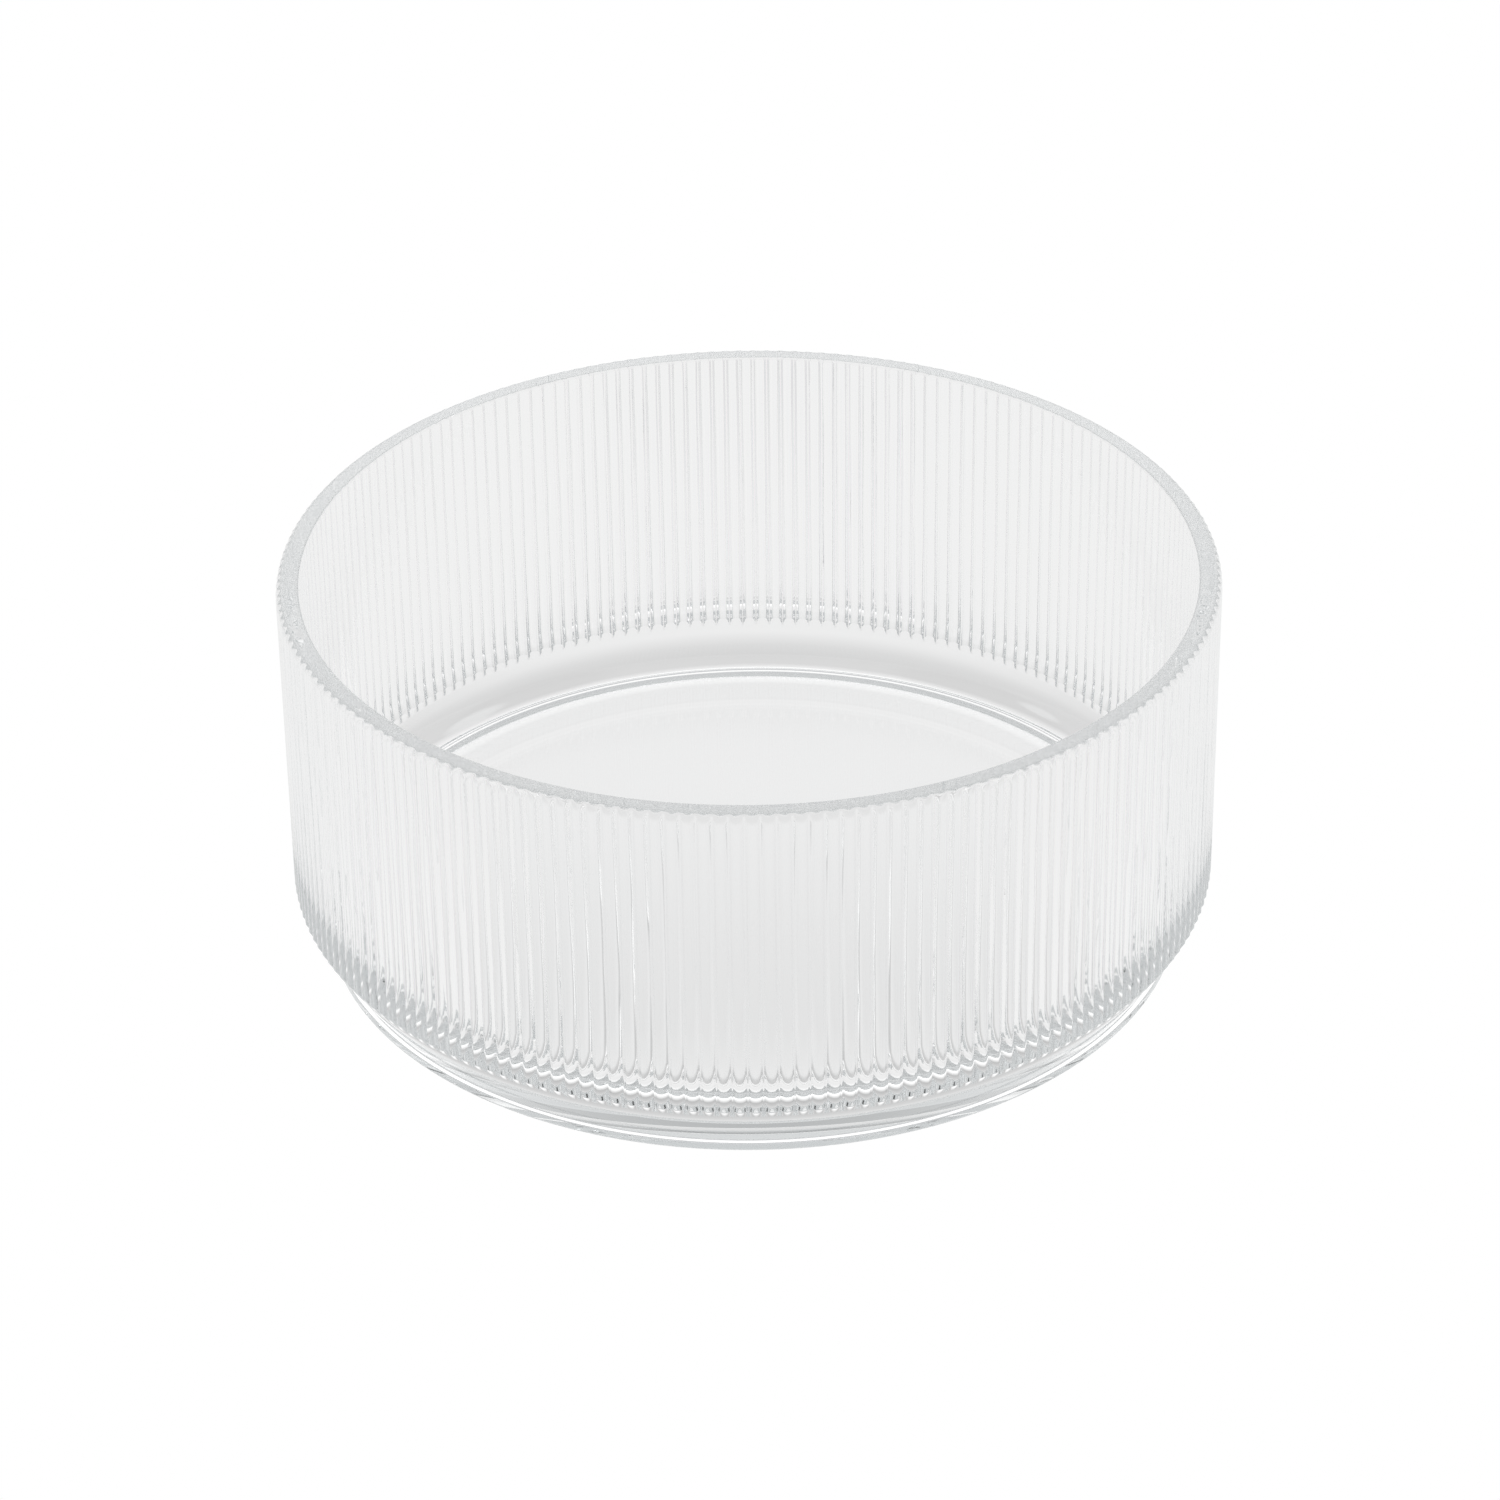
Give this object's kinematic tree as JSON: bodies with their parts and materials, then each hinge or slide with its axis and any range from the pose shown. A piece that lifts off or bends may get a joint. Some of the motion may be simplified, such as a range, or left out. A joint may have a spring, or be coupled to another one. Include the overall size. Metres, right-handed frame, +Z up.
{
  "type": "serving bowl",
  "caption": "Clear glass serving bowl with a low straight wall reeded on the outside, smooth inside, on a bevelled base with a low foot ring.",
  "frame": {"origin": "middle of the foot ring, on the surface the bowl stands on", "axes": "+Z up along the bowl's axis of rotation, +X and +Y in the plane it stands on, each through the crest of a reed"},
  "size_m": [0.23, 0.23, 0.098],
  "materials": {
    "clear_glass": "polished, clear and colourless"
  },
  "bodies": {
    "root": {"bowl": "clear_glass"}
  },
  "joints": []
}
